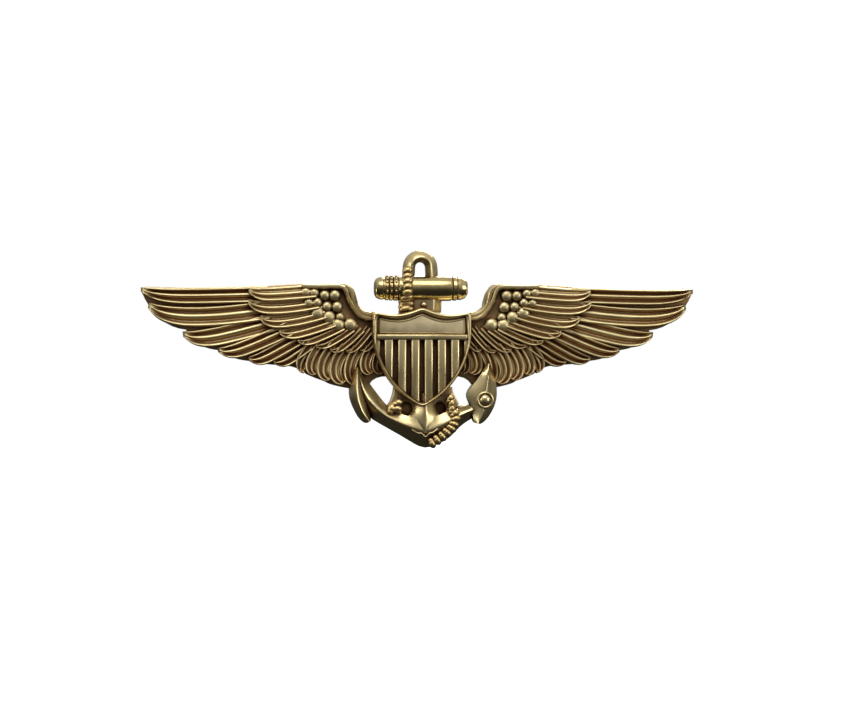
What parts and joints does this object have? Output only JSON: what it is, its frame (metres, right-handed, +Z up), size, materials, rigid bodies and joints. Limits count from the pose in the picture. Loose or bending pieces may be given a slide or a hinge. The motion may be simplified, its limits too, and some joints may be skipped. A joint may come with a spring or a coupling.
{
  "type": "pilot wings badge",
  "caption": "Winged badge with a fouled anchor and a striped shield, on two posts with sprung butterfly clutches.",
  "frame": {"origin": "on the flat back, midway between the two posts", "axes": "+X to the viewer's right along the wings, +Z up towards the anchor's ring, +Y out of the back along the posts"},
  "size_m": [0.0698, 0.0123, 0.0249],
  "materials": {
    "gold": "polished gold plate, dark in the recesses",
    "pale_gold": "satin pale gold",
    "post_steel": "drawn wire, brushed",
    "clutch_brass": "pressed sheet, bright",
    "spring_steel": "spring strip, satin"
  },
  "bodies": {
    "badge": {"left_wing": "gold", "right_wing": "gold", "anchor": "gold", "anchor_stock": "gold", "anchor_ring": "gold", "upper_rope": "gold", "lower_rope": "gold", "shield": "gold", "chief_panel": "pale_gold", "left_post": "post_steel", "right_post": "post_steel"},
    "left_clutch": {"left_clutch_disc": "clutch_brass", "left_clutch_cap": "clutch_brass", "left_clutch_spring": "spring_steel"},
    "left_outer_finger": {"left_clutch_outer_finger": "clutch_brass"},
    "left_inner_finger": {"left_clutch_inner_finger": "clutch_brass"},
    "right_clutch": {"right_clutch_disc": "clutch_brass", "right_clutch_cap": "clutch_brass", "right_clutch_spring": "spring_steel"},
    "right_outer_finger": {"right_clutch_outer_finger": "clutch_brass"},
    "right_inner_finger": {"right_clutch_inner_finger": "clutch_brass"}
  },
  "joints": [
    {"name": "left_clutch_slide", "type": "slide", "parent": "badge", "child": "left_clutch", "axis": [0, 1, 0], "range_m": [0, 0.014]},
    {"name": "left_outer_squeeze", "type": "hinge", "parent": "left_clutch", "child": "left_outer_finger", "pos_m": [-0.0223, 0.0062, 0], "axis": [0, 0, -1], "range_deg": [0, 10], "stiffness_Nm_per_rad": 0.001},
    {"name": "left_inner_squeeze", "type": "hinge", "parent": "left_clutch", "child": "left_inner_finger", "pos_m": [-0.0157, 0.0062, 0], "axis": [0, 0, -1], "range_deg": [-10, 0], "stiffness_Nm_per_rad": 0.001},
    {"name": "right_clutch_slide", "type": "slide", "parent": "badge", "child": "right_clutch", "axis": [0, 1, 0], "range_m": [0, 0.014]},
    {"name": "right_outer_squeeze", "type": "hinge", "parent": "right_clutch", "child": "right_outer_finger", "pos_m": [0.0223, 0.0062, 0], "axis": [0, 0, 1], "range_deg": [0, 10], "stiffness_Nm_per_rad": 0.001},
    {"name": "right_inner_squeeze", "type": "hinge", "parent": "right_clutch", "child": "right_inner_finger", "pos_m": [0.0157, 0.0062, 0], "axis": [0, 0, 1], "range_deg": [-10, 0], "stiffness_Nm_per_rad": 0.001}
  ],
  "couplings": [
    {"joint": "left_inner_squeeze", "follows": "left_outer_squeeze", "ratio": -1},
    {"joint": "right_inner_squeeze", "follows": "right_outer_squeeze", "ratio": -1}
  ]
}
